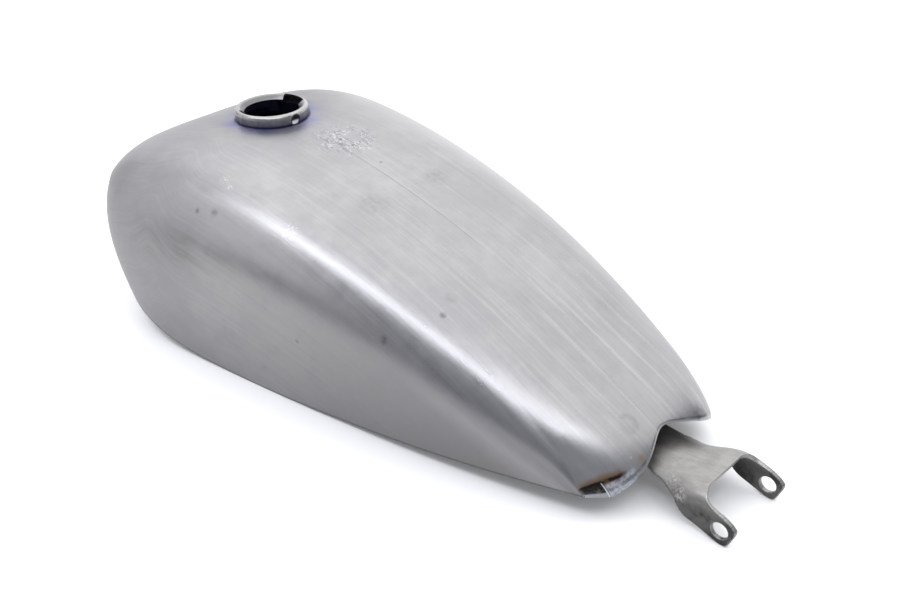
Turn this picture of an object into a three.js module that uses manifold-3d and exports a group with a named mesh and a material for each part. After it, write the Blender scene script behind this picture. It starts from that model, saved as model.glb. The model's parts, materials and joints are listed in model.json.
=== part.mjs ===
// Bare steel fuel tank for a motorcycle: two pressed outer shells joined on the centre line, a
// tunnel and two floors underneath, a bayonet filler neck, a fuel outlet, front mount tabs and a
// rear yoke. Millimetres, +X towards the steering head, +Y the rider's left, +Z up.
import * as THREE from 'three';
import { mergeVertices } from 'three/addons/utils/BufferGeometryUtils.js';
import Module from 'manifold-3d';

// ---- body: overall sizes ----
const bodyLength = 440;
const bodyWidth = 247.3;
const bodyHeight = 147.4;
const gauge = 1.2; // sheet thickness of the shells, the tunnel and the floors
const gap = 0.3; // between pieces that touch
const lapGap = 0.5; // between a shell and the sheet lapped behind it
// Control values of smooth curves that run from the tail to the nose: the crown's height and the
// half-width as shares of the overall sizes, and how square each section's top and side are.
const crownHeights = [0.2578, 0.7564, 0.8853, 1.0957, 0.8005].map((share) => share * bodyHeight);
const halfWidths = [0.2649, 0.4023, 0.5075, 0.459, 0.6086].map((share) => share * bodyWidth);
const topSquareness = [3.2, 4.3, 4, 3.9];
const sideSquareness = [3.35, 4, 3.3, 2.8];
const tuckIn = [1, 16, 8]; // how far the side leans in towards the hem
// The hem is lowest at hemLow of the length and rises to each end.
const hemLow = 0.6;
const hemRearRise = 16.6;
const hemFrontRise = 26;
const hemRearPower = 1.65;
const hemFrontPower = 2.1;

// ---- nose: the section shrinks onto the tunnel mouth ----
const noseLength = 127.5;
const nosePower = 2.76;
const mouthHalfWidth = 38.5;
const mouthBelowCrown = 16.5; // from the crown's last control height down to the mouth's top
const mouthHeight = 50.5;
const mouthTop = crownHeights[4] - mouthBelowCrown;
const mouthBottom = mouthTop - mouthHeight;
const mouthSquareness = 3;
const chinRake = 38; // how far the lowest point of the nose lies behind the highest
const chinTop = mouthTop;
const chinStart = bodyLength - 267;
const chinPower = 0.87;

// ---- tail: the edge is a bell-shaped arch ----
const tailReach = 60; // length over which the edge's plan shape fades out
const tailCentreOut = 5;
const tailWaveOut = 13.5;
const tailCornerIn = 6.8;
const tailCornerPower = 4;
const tailWavePower = 1.18; // over 1, it sets the wave's peak nearer the corner
const tailFadePower = 1.5;
const tailCurlLength = 28;
const tailCurlDrop = 23.2;
const tailCurlPower = 1.34;
const tailRound = 0.1; // rounds the arch's top, as a share of the tail's half-width

// ---- tunnel and floors ----
const tunnelHalfWidth = 34;
const tunnelUnderMouth = 5.5; // the roof's depth below the mouth's top
const tunnelOverTail = 2;
const tunnelRoofRear = crownHeights[0] + tunnelOverTail;
const tunnelRoofFront = mouthTop - tunnelUnderMouth;
const tunnelFlare = 90; // length over which the tunnel's feet leave the nose's mouth
const tunnelMouthClear = 1;
const tunnelSquareness = 3.2;
const tunnelShare = 0.5; // share of the sheet's width, from the centre, that is the tunnel
const floorStart = 0.008; // share of the sheet's width left between the tunnel and a floor
const tailBlend = 75; // length over which the tunnel leaves the shell behind the tail edge
const noseBlend = 26;
const seamWeldGauge = 0.9;
const seamWeldShare = 0.012; // half its width, as a share of the shell's width
const seamWeldStart = 30; // from the tail's datum
const seamWeldEnd = 8; // from the nose
const seamWeldClear = 6; // from the neck

// ---- filler neck ----
const fillerFromNose = 97;
const fillerTilt = 2.8; // degrees, leaning forward
const collarRadius = 26.8;
const collarBand = 1.6;
const collarRise = 8.5; // crest above the shell
const collarDepth = 7; // length below the shell
const crestRadius = 2.8;
const lipReach = 6.8; // from the neck's outside in to the lip's edge
const lipInner = collarRadius - lipReach;
const lipDrop = 3.2;
const lipGauge = 1.5;
const notchAngle = 50;
const camDepth = 2.2;
const camEndDepth = 4.2; // where the rail ends and the stop starts
const camStopDepth = 7;
const camGauge = 1.4;
const camArc = 104;
const stopArc = 22;
const fillerWeldLeg = 2.6;

// ---- rear yoke ----
const yokeGauge = 2.8;
const earHoleX = -68; // behind the tail's datum
const earHoleZ = 9.6;
const earHoleRadius = 5.4;
const earTip = 10; // from the hole to the end of the ear
const yokeReach = earTip - earHoleX; // from the tail's datum to the ends of the ears
const webFrontHalf = 20.6; // half-width of the web at the tank
const webFlatHalf = 13;
const webBendArc = 20; // sheet length of each bend
const webHeightRear = 28.5;
const webHeightFront = 23;
const crotchX = -52.5; // where the web ends between the ears
const widenFrom = -12; // the web widens into the ears from here
const widenLength = 24;
const frontCurve = 0.006; // 1 / radius of the web at the tank
const crownStart = 12;
const crownEnd = -36;
const crownCurve = 0.029; // 1 / radius of the web's crown before the bends form
const bendFrom = -20;
const legLength = 58; // sheet length from the centre line past the lower edge of an ear
const webUnderside = 17; // lower limit of the web at the tank
const joggleStart = 12;
const joggleEnd = 48;
const yokeFront = 88;

// ---- front mount tabs ----
const tabGauge = 2.8;
const tabHalfSpacing = 24;
const tabRadius = 12;
const tabHoleRadius = 4.2;
const tabX = bodyLength - 36;
const tabDrop = 26;

// ---- fuel outlet ----
const outletX = 96;
const outletAcross = 0.4664; // its place between the tunnel's foot and the hem
const outletRadius = 13;
const outletBore = 8.2;
const outletBelow = 7;
const outletAbove = 4;
const outletWeldLeg = 2.4;
const outletChamfer = 0.8;

// ---- facets ----
const bodyStations = 28;
const bodyColumns = 14; // columns on each side of the centre line
const crownSpread = 1.4; // over 1, columns crowd towards the middle of the shoulder
const hemSpread = 1.25;
const flangeTop = 0.96; // the flange that laps the shell starts here and ends at the hem
const roundFacets = 36;
const throughLength = 120; // of the bars that cut holes
const normalStepX = 0.6; // steps for a surface's normal
const normalStepW = 0.012;

const wasm = await Module();
wasm.setup();

const clamp01 = (v) => Math.min(1, Math.max(0, v));
const smooth = (v) => clamp01(v) ** 2 * (3 - 2 * clamp01(v));
const mix = (a, b, t) => a + (b - a) * t;
const degrees = THREE.MathUtils.degToRad;

/** Value at u of the smooth curve whose control values are given (de Casteljau). */
function curveAt(values, u) {
  let row = values.slice();
  while (row.length > 1) {
    row = row.slice(1).map((value, i) => mix(row[i], value, u));
  }
  return row[0];
}

function hemHeight(u) {
  if (u < hemLow) return hemRearRise * (1 - u / hemLow) ** hemRearPower;
  return hemFrontRise * ((u - hemLow) / (1 - hemLow)) ** hemFrontPower;
}

/** How much of the full section is left at x: 1 over most of the body, 0 at the nose. */
function noseShare(x) {
  const t = clamp01((x - bodyLength + noseLength) / noseLength);
  return (1 - t ** nosePower) ** (1 / nosePower);
}

/** Bends a straight cross-section into place: chin rake at the nose, bell-shaped edge at the tail. */
function shapeEnds(x, y, z, hem) {
  const low = clamp01(1 - z / chinTop);
  const raked = x - chinRake * low ** chinPower * clamp01((x - chinStart) / (bodyLength - chinStart));
  const side = clamp01(Math.hypot(y / halfWidths[0], tailRound));
  const wave = tailWaveOut * Math.sin(Math.PI * side ** tailWavePower);
  const edge = tailCornerIn * side ** tailCornerPower - tailCentreOut - wave;
  const fade = clamp01(1 - raked / tailReach) ** tailFadePower;
  const c = clamp01(1 - x / tailCurlLength);
  const curl = 1 - Math.sqrt(1 - c * c);
  const drop = Math.min(tailCurlDrop * side ** tailCurlPower, Math.max(z - hem, 0));
  return new THREE.Vector3(raked + edge * fade, y, z - drop * curl);
}

/** The shells' outer face. w runs from -1 (right hem) over the crown to 1 (left hem). */
function skin(x, w) {
  const u = x / bodyLength;
  const n = curveAt(topSquareness, u);
  const m = curveAt(sideSquareness, u);
  const corner = Math.SQRT1_2;
  let s;
  let c;
  const t = Math.abs(w);
  if (t < 0.5) {
    s = (corner ** (2 / n) * (1 - (1 - 2 * t) ** crownSpread)) ** (n / 2);
    c = Math.sqrt(1 - s * s);
  } else {
    c = (corner ** (2 / m) * (1 - (2 * t - 1) ** hemSpread)) ** (m / 2);
    s = Math.sqrt(1 - c * c);
  }
  const rise = c ** (2 / m);
  const width = curveAt(halfWidths, u) - curveAt(tuckIn, u) * (1 - rise) ** 2;
  const hem = hemHeight(u);
  const y = s ** (2 / n) * width;
  const z = mix(hem, curveAt(crownHeights, u), rise);
  const mouthY = s ** (2 / mouthSquareness) * mouthHalfWidth;
  const mouthZ = mix(mouthBottom, mouthTop, c ** (2 / mouthSquareness));
  const k = noseShare(x);
  return shapeEnds(x, Math.sign(w) * mix(mouthY, y, k), mix(mouthZ, z, k), hem);
}

/** A surface moved inwards by depth along its own normal. */
function inset(surface, x, w, depth, from = -1, to = 1) {
  const x0 = Math.max(0, x - normalStepX);
  const x1 = Math.min(bodyLength, x + normalStepX);
  const w0 = Math.max(from, w - normalStepW);
  const w1 = Math.min(to, w + normalStepW);
  const along = surface(x1, w).sub(surface(x0, w));
  const across = surface(x, w1).sub(surface(x, w0));
  const normal = along.cross(across).normalize();
  return surface(x, w).addScaledVector(normal, -depth);
}

const mouthFoot = mouthHalfWidth - gauge - lapGap - tunnelMouthClear;
const tunnelFoot = (x) => mix(mouthFoot, tunnelHalfWidth, smooth((bodyLength - x) / tunnelFlare));
const tunnelRoof = (x) => mix(tunnelRoofRear, tunnelRoofFront, x / bodyLength);

/** The upper face of the tunnel and floors: the tunnel arch, the flat floors, then the flanges. */
function pan(x, w) {
  const t = Math.abs(w);
  const u = x / bodyLength;
  const k = noseShare(x);
  const hem = mix(mouthBottom, hemHeight(u), k);
  const side = Math.sign(w);
  const corner = inset(skin, x, side * flangeTop, gauge + lapGap);
  if (t <= tunnelShare) {
    const angle = (t / tunnelShare) * 0.5 * Math.PI;
    const y = tunnelFoot(x) * Math.sin(angle) ** (2 / tunnelSquareness);
    const z = mix(corner.z, tunnelRoof(x), Math.cos(angle) ** (2 / tunnelSquareness));
    return settle(x, w, shapeEnds(x, side * y, z, hem));
  }
  if (t >= flangeTop) return inset(skin, x, w, gauge + lapGap);
  const start = shapeEnds(x, side * tunnelFoot(x), corner.z, hem);
  return settle(x, w, start.lerp(corner, (t - tunnelShare) / (flangeTop - tunnelShare)));
}

/** Eases the sheet back onto the shell's inner face at the tail edge and at the nose. */
function settle(x, w, point) {
  const free = smooth(x / tailBlend) * smooth((bodyLength - x) / noseBlend);
  return inset(skin, x, w, gauge + lapGap).lerp(point, free);
}

/** A closed body between two grids of points, face and back, with walls round its four edges. */
function sheetBody(face, back) {
  const rows = face.length;
  const columns = face[0].length;
  const positions = [...face.flat(), ...back.flat()].flatMap((p) => [p.x, p.y, p.z]);
  const at = (side, i, j) => side * rows * columns + i * columns + j;
  const index = [];
  const quad = (a, b, c, d) => index.push(a, b, c, a, c, d);
  for (let i = 0; i + 1 < rows; i++) {
    for (let j = 0; j + 1 < columns; j++) {
      quad(at(0, i, j), at(0, i + 1, j), at(0, i + 1, j + 1), at(0, i, j + 1));
      quad(at(1, i, j), at(1, i, j + 1), at(1, i + 1, j + 1), at(1, i + 1, j));
    }
    quad(at(0, i, 0), at(1, i, 0), at(1, i + 1, 0), at(0, i + 1, 0));
    quad(at(0, i + 1, columns - 1), at(1, i + 1, columns - 1), at(1, i, columns - 1), at(0, i, columns - 1));
  }
  for (let j = 0; j + 1 < columns; j++) {
    quad(at(0, 0, j + 1), at(1, 0, j + 1), at(1, 0, j), at(0, 0, j));
    quad(at(0, rows - 1, j), at(1, rows - 1, j), at(1, rows - 1, j + 1), at(0, rows - 1, j + 1));
  }
  const geometry = new THREE.BufferGeometry();
  geometry.setAttribute('position', new THREE.Float32BufferAttribute(positions, 3));
  geometry.setIndex(index);
  return geometry;
}

/** Sheet of the given depth hung from a surface, over lists of stations and columns. */
function sheet(surface, stations, columns, depth, startDepth = 0) {
  const ends = [columns[0], columns[columns.length - 1]];
  const layer = (d) => stations.map((x) => columns.map((w) => inset(surface, x, w, d, ...ends)));
  return sheetBody(layer(startDepth), layer(startDepth + depth));
}

const stations = Array.from({ length: bodyStations + 1 }, (_, i) =>
  bodyLength * 0.5 * (1 - Math.cos((Math.PI * i) / bodyStations)));

/** Columns of one side, from the centre line out to the hem. */
const sideColumns = Array.from({ length: bodyColumns + 1 }, (_, j) => j / bodyColumns);
sideColumns[bodyColumns - 1] = flangeTop;

const evenly = (from, to, steps) => Array.from({ length: steps + 1 }, (_, i) => mix(from, to, i / steps));

// ---- solids for cutting and joining ----

function toSolid(geometry) {
  const bare = geometry.clone();
  bare.deleteAttribute('normal');
  bare.deleteAttribute('uv');
  const merged = mergeVertices(bare, 1e-4);
  const mesh = new wasm.Mesh({
    numProp: 3,
    vertProperties: new Float32Array(merged.attributes.position.array),
    triVerts: new Uint32Array(merged.index.array),
  });
  return new wasm.Manifold(mesh);
}

function toGeometry(solid) {
  const mesh = solid.getMesh();
  const geometry = new THREE.BufferGeometry();
  geometry.setAttribute('position', new THREE.BufferAttribute(mesh.vertProperties, 3));
  geometry.setIndex(new THREE.BufferAttribute(mesh.triVerts, 1));
  return geometry;
}

function cut(geometry, ...tools) {
  return toGeometry(tools.reduce((solid, tool) => solid.subtract(toSolid(tool)), toSolid(geometry)));
}

const common = (a, b) => toGeometry(toSolid(a).intersect(toSolid(b)));

/** A round bar along Z, Y or a tilted frame, by a matrix. */
function bar(radius, length, matrix = new THREE.Matrix4()) {
  const geometry = new THREE.CylinderGeometry(radius, radius, length, roundFacets);
  geometry.rotateX(Math.PI / 2);
  return geometry.applyMatrix4(matrix);
}

/** A turned ring: the profile is a closed list of [radius, height] points, anticlockwise. */
function turned(profile, facets = roundFacets) {
  const points = [...profile, profile[0]].map(([r, z]) => new THREE.Vector2(r, z));
  return new THREE.LatheGeometry(points, facets).rotateX(Math.PI / 2);
}

/** A flat plate in the XZ plane, its outline a Shape, thick along Y from y0 to y1. */
function uprightPlate(shape, y0, y1) {
  const plate = new THREE.ExtrudeGeometry(shape, { depth: y1 - y0, bevelEnabled: false, curveSegments: 10 });
  return plate.rotateX(Math.PI / 2).translate(0, y1, 0);
}

// ---- filler frame: its origin is on the shell, its Z along the neck ----

const fillerX = bodyLength - fillerFromNose;
const fillerFrame = new THREE.Matrix4()
  .makeTranslation(fillerX, 0, skin(fillerX, 0).z)
  .multiply(new THREE.Matrix4().makeRotationY(degrees(fillerTilt)));
const inFiller = (geometry) => geometry.applyMatrix4(fillerFrame);

// ---- outlet frame: its origin is on the left floor's upper face, its Z square to the floor ----

const outletY = mix(tunnelFoot(outletX), skin(outletX, 1).y, outletAcross);
const floorHeight = (x) => pan(x, 0.7).z;
const floorSlope = Math.atan((floorHeight(outletX + 10) - floorHeight(outletX - 10)) / 20);
const outletFrame = new THREE.Matrix4()
  .makeTranslation(outletX, outletY, floorHeight(outletX))
  .multiply(new THREE.Matrix4().makeRotationY(-floorSlope));
const inOutlet = (geometry) => geometry.applyMatrix4(outletFrame);

// ---- pieces ----

/** The given columns of the left side, or their mirror image in rising order for the right. */
const onSide = (side, columns) => (side > 0 ? columns : columns.map((w) => -w).reverse());

function shell(side) {
  const ordered = onSide(side, sideColumns);
  const body = sheet(skin, stations, ordered, gauge);
  body.translate(0, (side * gap) / 2, 0);
  return cut(body, inFiller(bar(collarRadius + gap, throughLength)));
}

function tunnel() {
  const columns = evenly(-tunnelShare, tunnelShare, 2 * bodyColumns * tunnelShare);
  return sheet(pan, stations, columns, gauge);
}

function floorPan(side) {
  const outer = sideColumns.filter((w) => w > tunnelShare);
  const ordered = onSide(side, [tunnelShare + floorStart, ...outer]);
  const body = sheet(pan, stations.slice(2, -2), ordered, gauge);
  return side > 0 ? cut(body, inOutlet(bar(outletRadius + gap, throughLength))) : body;
}

function seamWeld(from, to) {
  const run = evenly(from, to, 16);
  return sheet(skin, run, evenly(-seamWeldShare, seamWeldShare, 2), seamWeldGauge, gauge + gap);
}

function lipProfile() {
  const crestCentre = collarRise - crestRadius;
  const outside = [];
  for (let i = 0; i <= 6; i++) {
    const a = (Math.PI / 2) * (i / 6);
    outside.push([
      collarRadius - crestRadius + crestRadius * Math.cos(a),
      crestCentre + crestRadius * Math.sin(a),
    ]);
  }
  const inner = collarRadius - collarBand;
  const lipEnd = collarRise - lipDrop;
  const lipUnder = crestCentre + crestRadius - lipGauge;
  return [
    [inner, -collarDepth],
    [collarRadius, -collarDepth],
    ...outside,
    [lipInner, lipEnd],
    [lipInner, lipEnd - lipGauge],
    [collarRadius - crestRadius, lipUnder],
    [inner, lipUnder - 1],
  ];
}

/** A wedge of a ring, used for the notches and the cams: from and to are in degrees. */
function ringSector(r0, r1, from, to, z0, z1) {
  const shape = new THREE.Shape();
  shape.absarc(0, 0, r1, degrees(from), degrees(to), false);
  shape.absarc(0, 0, r0, degrees(to), degrees(from), true);
  const depth = z1 - z0;
  return new THREE.ExtrudeGeometry(shape, { depth, bevelEnabled: false, curveSegments: 16 })
    .translate(0, 0, z0);
}

function collar() {
  const half = notchAngle / 2;
  const notchOuter = collarRadius - crestRadius;
  const notches = [90, 270].map((middle) =>
    ringSector(lipInner - 4, notchOuter, middle - half, middle + half, -collarDepth - 1, collarRise + 1));
  return inFiller(cut(turned(lipProfile()), ...notches));
}

/** Cam rail under one half of the lip: it deepens along its arc and ends in a stop. */
function cam(middle) {
  const outer = lipInner + camGauge;
  const top = collarRise - lipDrop - lipGauge - gap;
  const steps = 18;
  const start = middle + camArc / 2;
  const face = [];
  const back = [];
  for (let i = 0; i <= steps; i++) {
    const share = i / steps;
    const a = degrees(start - camArc * share);
    const isStop = (1 - share) * camArc <= stopArc;
    const depth = isStop ? camStopDepth : mix(camDepth, camEndDepth, share);
    const column = (radius) => [top, top - depth].map((z) =>
      new THREE.Vector3(radius * Math.cos(a), radius * Math.sin(a), z));
    face.push(column(outer));
    back.push(column(lipInner));
  }
  return inFiller(sheetBody(face, back));
}

/** Fillet weld under the shell, round the neck: it follows the shell's inner face. */
function fillerWeld() {
  const ring = turned([
    [collarRadius + gap, -fillerWeldLeg],
    [collarRadius + gap + fillerWeldLeg, 0],
    [collarRadius + gap, 0],
  ]);
  const position = ring.attributes.position;
  const crown = skin(fillerX, 0).z;
  for (let i = 0; i < position.count; i++) {
    const x = position.getX(i);
    const y = position.getY(i);
    const sag = crown - skinHeight(fillerX + x, y);
    const lean = x * Math.tan(degrees(fillerTilt));
    position.setZ(i, position.getZ(i) - sag + lean - gauge - 3 * gap);
  }
  return inFiller(ring);
}

/** Height of the outer face over a point of the top. */
function skinHeight(x, y) {
  let low = 0;
  let high = 0.75;
  for (let i = 0; i < 20; i++) {
    const middle = (low + high) / 2;
    if (skin(x, middle).y < Math.abs(y)) low = middle;
    else high = middle;
  }
  return skin(x, low).z;
}

// ---- yoke ----

/** Underside of the tunnel at x, at a given distance from the centre line. */
function tunnelUnderside(x, y) {
  let low = 0;
  let high = tunnelShare;
  for (let i = 0; i < 20; i++) {
    const middle = (low + high) / 2;
    if (inset(pan, x, middle, gauge).y < Math.abs(y)) low = middle;
    else high = middle;
  }
  return inset(pan, x, low, gauge).z;
}

/** Height of the web's upper face on the centre line. */
function webHeight(x) {
  const open = mix(webHeightFront, webHeightRear, smooth((joggleStart - x) / (joggleStart - crotchX)));
  if (x <= joggleStart) return open;
  const under = tunnelUnderside(x, webFrontHalf + 1) - 2 * gap;
  return mix(open, under, smooth((x - joggleStart) / (joggleEnd - joggleStart)));
}

/** Point of the bent plate: a is the sheet length from the centre line, depth is into the plate. */
function yokePoint(x, height, a, depth) {
  const curve = mix(frontCurve, crownCurve, smooth((crownStart - x) / (crownStart - crownEnd)));
  const bent = smooth((bendFrom - x) / (bendFrom - crotchX));
  const slope = (along) => {
    const folded = 0.5 * Math.PI * clamp01((along - webFlatHalf) / webBendArc) ** 2;
    return Math.min(0.5 * Math.PI, mix(curve * along, folded, bent));
  };
  const steps = 90;
  let y = 0;
  let z = height;
  const reach = Math.abs(a);
  for (let i = 0; i < steps; i++) {
    const angle = slope(((i + 0.5) / steps) * reach);
    y += (Math.cos(angle) * reach) / steps;
    z -= (Math.sin(angle) * reach) / steps;
  }
  const angle = slope(reach);
  const side = Math.sign(a);
  return new THREE.Vector3(x, side * (y - depth * Math.sin(angle)), z - depth * Math.cos(angle));
}

/** Side outline of the yoke, to which the bent plate is trimmed. Each ear is drawn round its hole. */
function yokeOutline() {
  const shape = new THREE.Shape();
  const above = webHeightRear + bodyHeight;
  const ear = (x, z) => [earHoleX + x, earHoleZ + z];
  const end = 0.04 * earTip;
  shape.moveTo(yokeFront, above);
  shape.lineTo(crotchX, above);
  shape.lineTo(crotchX, webHeightRear);
  shape.bezierCurveTo(crotchX - 2.5, webHeightRear - 0.9, crotchX - 3.5, webHeightRear - 3.7, ...ear(7, 13));
  shape.lineTo(...ear(-1, 10));
  shape.bezierCurveTo(...ear(-5, 8.4), ...ear(-8, 6.9), ...ear(end - earTip, 4.6));
  shape.bezierCurveTo(...ear(-earTip - 0.1, 3.8), ...ear(-earTip - 0.1, 2.4), ...ear(1.5 * end - earTip, 0.4));
  shape.lineTo(...ear(-7, -5.6));
  shape.bezierCurveTo(...ear(-6, 1.2 - earHoleZ), ...ear(-4.4, -earHoleZ), ...ear(-2, -earHoleZ));
  shape.bezierCurveTo(...ear(1, -earHoleZ), crotchX - 3.5, 3.8, crotchX + 3.5, 5.6);
  shape.bezierCurveTo(crotchX + 9.5, 7.2, crotchX + 11.5, 11, crotchX + 15.5, 14.8);
  shape.bezierCurveTo(crotchX + 19.5, 17.8, crotchX + 28.5, 19.2, widenFrom, webUnderside + 3.4);
  shape.lineTo(joggleStart, webUnderside);
  shape.lineTo(yokeFront, webUnderside);
  return shape;
}

/** Half-width, along the sheet, of the web where it is inside the tunnel and before it widens. */
function webHalf(x) {
  return mix(webFrontHalf, legLength, smooth((widenFrom - x) / widenLength));
}

function yoke() {
  const run = [...evenly(-yokeReach - 6, joggleStart, 22), ...evenly(joggleStart, yokeFront, 7).slice(1)];
  const across = evenly(-1, 1, 20);
  const heights = run.map(webHeight);
  const layer = (depth) => run.map((x, i) =>
    across.map((t) => yokePoint(x, heights[i], t * webHalf(x), depth)));
  const plate = sheetBody(layer(0), layer(yokeGauge));
  const outline = uprightPlate(yokeOutline(), -legLength, legLength);
  const turn = new THREE.Matrix4().makeTranslation(earHoleX, 0, earHoleZ);
  turn.multiply(new THREE.Matrix4().makeRotationX(Math.PI / 2));
  return cut(common(plate, outline), bar(earHoleRadius, throughLength, turn));
}

// ---- front mount tabs and fuel outlet ----

function frontTab(side) {
  const y0 = side * tabHalfSpacing - tabGauge / 2;
  const far = tabHalfSpacing + tabGauge / 2;
  const holeZ = tunnelUnderside(tabX, far) - tabDrop;
  const shape = new THREE.Shape();
  shape.moveTo(tabX - tabRadius, holeZ);
  shape.absarc(tabX, holeZ, tabRadius, Math.PI, 2 * Math.PI, false);
  shape.lineTo(tabX + tabRadius, tunnelUnderside(tabX + tabRadius, far) - gap);
  shape.lineTo(tabX - tabRadius, tunnelUnderside(tabX - tabRadius, far) - gap);
  const hole = new THREE.Path();
  hole.absarc(tabX, holeZ, tabHoleRadius, 0, 2 * Math.PI, true);
  shape.holes.push(hole);
  return uprightPlate(shape, y0, y0 + tabGauge);
}

function outletBung() {
  return inOutlet(turned([
    [outletBore, -outletBelow],
    [outletRadius - outletChamfer, -outletBelow],
    [outletRadius, outletChamfer - outletBelow],
    [outletRadius, outletAbove],
    [outletBore, outletAbove],
  ]));
}

function outletWeld() {
  const under = -gauge - 3 * gap;
  return inOutlet(turned([
    [outletRadius + gap, under - outletWeldLeg],
    [outletRadius + gap + outletWeldLeg, under],
    [outletRadius + gap, under],
  ]));
}

// ---- assembly ----

const bareSteel = { color: 0xb4b3b5, roughness: 0.34, metalness: 1 };
const innerSteel = { color: 0x8d8c8c, roughness: 0.5, metalness: 1 };
const millScale = { color: 0x7f7d78, roughness: 0.48, metalness: 1 };
const turnedSteel = { color: 0xc4c3c4, roughness: 0.28, metalness: 1 };
const weldSteel = { color: 0x74726f, roughness: 0.42, metalness: 1 };

const tank = new THREE.Group();
tank.position.x = (yokeReach - bodyLength) / 2; // the origin is under the middle of the whole part

function place(name, geometry, finish) {
  const flat = geometry.index ? geometry.toNonIndexed() : geometry;
  flat.computeVertexNormals();
  const mesh = new THREE.Mesh(flat, new THREE.MeshStandardMaterial(finish));
  mesh.name = name;
  tank.add(mesh);
}

place('left_shell', shell(1), bareSteel);
place('right_shell', shell(-1), bareSteel);
place('tunnel', tunnel(), innerSteel);
place('left_floor', floorPan(1), innerSteel);
place('right_floor', floorPan(-1), innerSteel);
place('rear_seam_weld', seamWeld(seamWeldStart, fillerX - collarRadius - seamWeldClear), weldSteel);
place('front_seam_weld', seamWeld(fillerX + collarRadius + seamWeldClear, bodyLength - seamWeldEnd), weldSteel);
place('filler_collar', collar(), turnedSteel);
place('filler_weld', fillerWeld(), weldSteel);
place('front_cap_cam', cam(0), turnedSteel);
place('rear_cap_cam', cam(180), turnedSteel);
place('rear_yoke', yoke(), millScale);
place('left_front_tab', frontTab(1), millScale);
place('right_front_tab', frontTab(-1), millScale);
place('outlet_bung', outletBung(), turnedSteel);
place('outlet_weld', outletWeld(), weldSteel);

export default tank;
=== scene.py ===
import json
import math

import bpy
import numpy as np
from mathutils import Matrix, Vector


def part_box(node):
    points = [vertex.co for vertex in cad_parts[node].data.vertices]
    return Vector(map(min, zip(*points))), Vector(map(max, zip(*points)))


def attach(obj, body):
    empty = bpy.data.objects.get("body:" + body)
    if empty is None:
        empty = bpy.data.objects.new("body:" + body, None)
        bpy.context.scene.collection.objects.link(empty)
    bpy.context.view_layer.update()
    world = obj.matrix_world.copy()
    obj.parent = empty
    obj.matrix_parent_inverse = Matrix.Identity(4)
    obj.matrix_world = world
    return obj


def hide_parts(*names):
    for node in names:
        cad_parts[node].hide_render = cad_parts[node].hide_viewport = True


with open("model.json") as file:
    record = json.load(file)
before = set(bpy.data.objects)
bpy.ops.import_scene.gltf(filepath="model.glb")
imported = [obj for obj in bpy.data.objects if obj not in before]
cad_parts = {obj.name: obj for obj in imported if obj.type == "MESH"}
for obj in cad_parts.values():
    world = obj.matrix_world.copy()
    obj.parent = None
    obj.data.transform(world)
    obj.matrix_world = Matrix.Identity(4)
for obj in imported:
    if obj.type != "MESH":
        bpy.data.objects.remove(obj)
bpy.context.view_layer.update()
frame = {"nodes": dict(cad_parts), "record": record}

# ---- sizes, in millimetres, measured forwards from the tail's datum ----

YOKE_REACH = 78.0
TAIL_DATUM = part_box("rear_yoke")[0][0] * 1000 + YOKE_REACH  # where that datum lies in the frame
LENGTH = 440.0
GAUGE = 1.2
LAP_GAP = 0.5
CROWN_HEIGHTS = (38, 111.5, 130.5, 161.5, 118)
HALF_WIDTHS = (65.5, 99.5, 125.5, 113.5, 150.5)
TOP_SQUARENESS = (3.2, 4.3, 4, 3.9)
SIDE_SQUARENESS = (3.35, 4, 3.3, 2.8)
TUCK_IN = (1, 16, 8)
HEM_LOW = 0.6
HEM_REAR = (16.6, 1.65)  # rise and power
HEM_FRONT = (26.0, 2.1)
NOSE_LENGTH = 127.5
NOSE_POWER = 2.76
MOUTH = (38.5, 51.0, 101.5)  # half-width, lowest and highest point
MOUTH_SQUARENESS = 3.0
CHIN_RAKE, CHIN_TOP, CHIN_START = 38.0, 101.5, 173.0
TAIL_REACH = 60.0
TAIL_EDGE = (5.0, 13.5, 6.8)  # centre out, wave out, corner in
TAIL_CURL = (28.0, 23.2)  # length, drop
TAIL_ROUND = 0.1
TUNNEL_HALF = 34.0
TUNNEL_ROOF = (40.0, 96.0)
TUNNEL_SQUARENESS = 3.2
TUNNEL_SHARE = 0.5
FLANGE_TOP = 0.96
TAIL_BLEND, NOSE_BLEND = 75.0, 26.0

FILLER_X = LENGTH - 97.0
FILLER_TILT = math.radians(2.8)
COLLAR_RADIUS, COLLAR_BAND, COLLAR_RISE, COLLAR_DEPTH = 26.8, 1.6, 8.5, 7.0
CREST_RADIUS, LIP_INNER, LIP_DROP, LIP_GAUGE = 2.8, 20.0, 3.2, 1.5
NOTCH_HALF = math.radians(25)
BRAZED_LAP = 0.6  # how far the shells' hole runs into the band

OUTLET_X, OUTLET_ACROSS = 96.0, 0.4664  # the share is from the tunnel's foot to the hem
OUTLET_RADIUS, OUTLET_BORE, OUTLET_BELOW, OUTLET_ABOVE, OUTLET_CHAMFER = 13.0, 8.2, 7.0, 4.0, 0.8
THREAD_PITCH, THREAD_DEPTH = 1.4, 0.6

YOKE_GAUGE, YOKE_END = 2.8, 88.0
WEB_HALF, WEB_OPEN = 20.6, 12.0  # half-width, and the place where the tank begins to cover it
CROTCH_X = -52.5  # rear end of the web, between the ears
EAR_HOLE, EAR_HOLE_RADIUS = (-68.0, 9.6), 5.4


# ---- curves and surfaces ----

def smooth(t):
    """Eases from 0 to 1: 3 t^2 - 2 t^3, held flat outside."""
    t = np.clip(t, 0, 1)
    return t * t * (3 - 2 * t)


def mix(a, b, t):
    return a + (b - a) * t


def curve_at(values, u):
    """Smooth curve of the control values at u, by repeated halfway mixing (de Casteljau)."""
    row = [v + 0 * u for v in values]
    while len(row) > 1:
        row = [mix(a, b, u) for a, b in zip(row, row[1:])]
    return row[0]


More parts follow.
